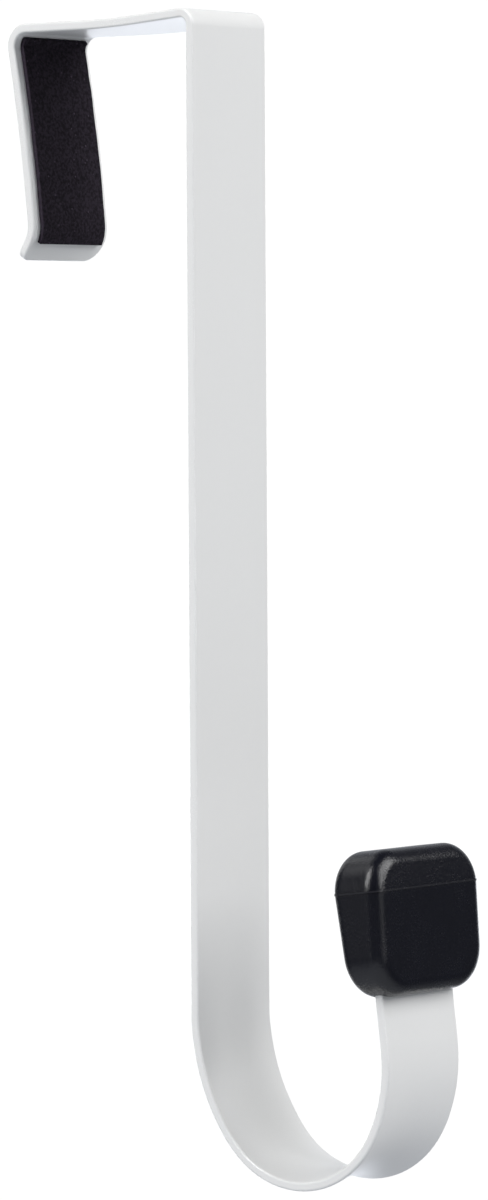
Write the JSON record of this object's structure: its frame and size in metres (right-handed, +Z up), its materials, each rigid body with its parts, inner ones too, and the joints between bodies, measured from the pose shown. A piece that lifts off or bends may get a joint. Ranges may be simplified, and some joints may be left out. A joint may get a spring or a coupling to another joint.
{
  "type": "over door hook",
  "caption": "Over-the-door hook bent from a flat white steel strip, with a foam pad on the rear leg and a moulded black cap on the tip of its J-shaped end.",
  "frame": {"origin": "middle of the level seat under the top strap, where it rests on the door's top edge", "axes": "+Z up, -Y towards the room (the hook's open side), +Y through the door to the rear leg, +X to the viewer's right across the strip"},
  "size_m": [0.038, 0.1051, 0.2506],
  "materials": {
    "white_powder_coat": "satin powder coat",
    "black_foam": "matt closed-cell foam",
    "black_cap": "satin moulded, with a fine grain"
  },
  "bodies": {
    "root": {"hook_strip": "white_powder_coat", "foam_pad": "black_foam", "tip_cap": "black_cap"}
  },
  "joints": []
}
